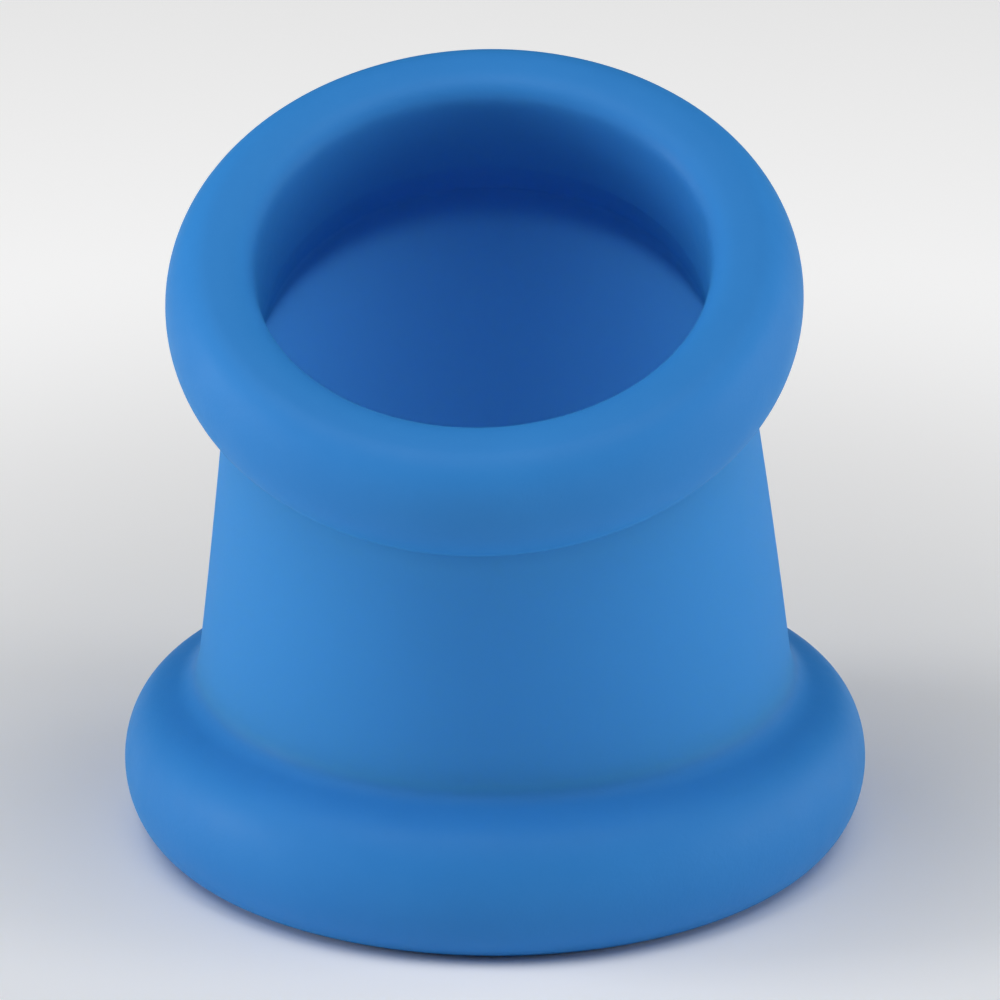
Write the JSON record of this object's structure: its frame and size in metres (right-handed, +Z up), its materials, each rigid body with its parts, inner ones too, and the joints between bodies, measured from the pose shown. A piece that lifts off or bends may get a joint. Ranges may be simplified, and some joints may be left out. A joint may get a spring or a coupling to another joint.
{
  "type": "flexible rubber sleeve",
  "caption": "Short bent, tapered sleeve of soft matt rubber, open right through, with a thick oval bead round each mouth; its thin wall flexes and springs back.",
  "frame": {"origin": "centre of the flat ring on the underside of the base bead, level with the surface that the sleeve stands on", "axes": "+Z up, out of the base; -Y is the way the upper mouth leans; +X to the right when looking into the upper mouth"},
  "size_m": [0.06, 0.0651, 0.0631],
  "materials": {
    "rubber": "matte"
  },
  "bodies": {
    "base": {"base_bead": "rubber", "lower_wall": "rubber"},
    "waist": {"waist_wall": "rubber"},
    "shoulder": {"shoulder_wall": "rubber"},
    "neck": {"upper_wall": "rubber"},
    "mouth": {"mouth_bead": "rubber"}
  },
  "joints": [
    {"name": "fore_aft_bend", "type": "hinge", "parent": "base", "child": "waist", "pos_m": [0, -0.00053, 0.01656], "axis": [1, 0, 0], "range_deg": [-8, 8], "stiffness_Nm_per_rad": 1.5, "deforming": ["lower_wall"]},
    {"name": "sideways_bend", "type": "hinge", "parent": "waist", "child": "shoulder", "pos_m": [0, -0.00328, 0.02767], "axis": [0, 0.9478, 0.319], "range_deg": [-8, 8], "stiffness_Nm_per_rad": 1.5, "deforming": ["waist_wall"]},
    {"name": "twist", "type": "hinge", "parent": "shoulder", "child": "neck", "pos_m": [0, -0.00537, 0.03327], "axis": [0, -0.3795, 0.9252], "range_deg": [-15, 15], "stiffness_Nm_per_rad": 0.8, "deforming": ["shoulder_wall"]},
    {"name": "squeeze", "type": "slide", "parent": "neck", "child": "mouth", "axis": [0, -0.454, 0.891], "range_m": [-0.0025, 0.0025], "stiffness_N_per_m": 2000, "deforming": ["upper_wall"]}
  ]
}
